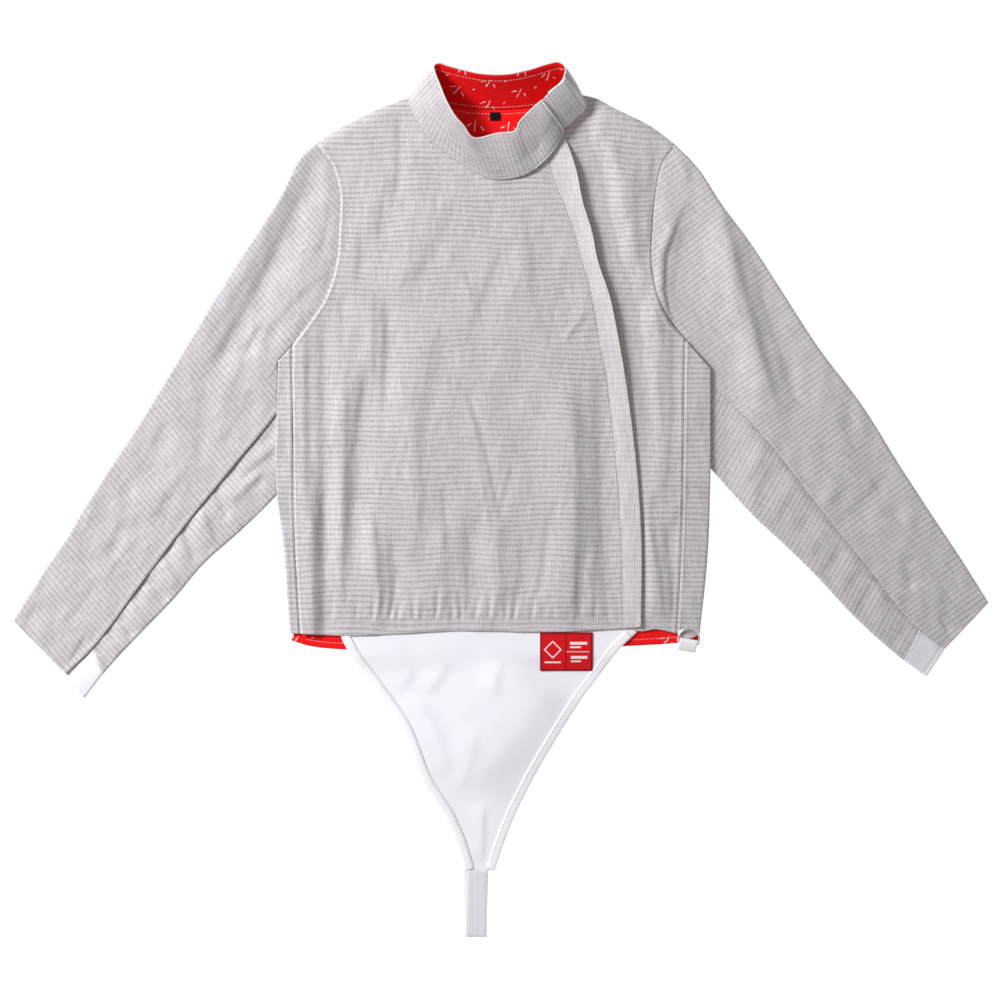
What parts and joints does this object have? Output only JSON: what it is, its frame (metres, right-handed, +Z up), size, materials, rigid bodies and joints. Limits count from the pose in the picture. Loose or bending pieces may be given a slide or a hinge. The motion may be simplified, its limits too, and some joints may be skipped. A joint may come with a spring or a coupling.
{
  "type": "fencing lame",
  "caption": "Fencing lame jacket laid flat on its back: wrap-over front with a slanted flap, standing collar, long sleeves and a white crotch bib ending in an elastic loop.",
  "frame": {"origin": "middle of the garment's outline, on the surface that it lies on", "axes": "+X towards the wearer's left sleeve (right as seen from above), +Y towards the collar, +Z up from the surface"},
  "size_m": [1.0742, 0.9601, 0.0381],
  "materials": {
    "lame": "woven metal-faced cloth with a fine cross rib, soft dull sheen",
    "red_lining": "plain woven lining, matt, with sparse white marks",
    "red_label": "woven label, matt",
    "white_cloth": "smooth white cloth, satin",
    "white_elastic": "ribbed elastic, matt",
    "black_tag": "woven tag, matt",
    "wire": "polished bent wire"
  },
  "bodies": {
    "jacket": {"back_panel": "lame", "front_panel": "lame", "placket": "lame", "side_front": "lame", "side_panel_l": "lame", "side_panel_r": "lame", "sleeve_upper_l": "lame", "sleeve_upper_r": "lame", "sleeve_under_l": "lame", "sleeve_under_r": "lame", "collar": "lame", "collar_tab": "lame", "collar_lining": "red_lining", "neck_lining": "red_lining", "hem_lining": "red_lining", "label": "red_label", "crotch_bib": "white_cloth", "bib_binding_l": "white_cloth", "bib_binding_r": "white_cloth", "ring_tab": "white_cloth", "cuff_elastic_l": "white_elastic", "cuff_elastic_r": "white_elastic", "strap_loop": "white_elastic", "size_tag": "black_tag"},
    "ring": {"d_ring": "wire"}
  },
  "joints": [
    {"name": "ring_swing", "type": "hinge", "parent": "jacket", "child": "ring", "pos_m": [0.2063, -0.1565, 0.0058], "axis": [0.9848, -0.1736, 0], "range_deg": [0, 170]}
  ]
}
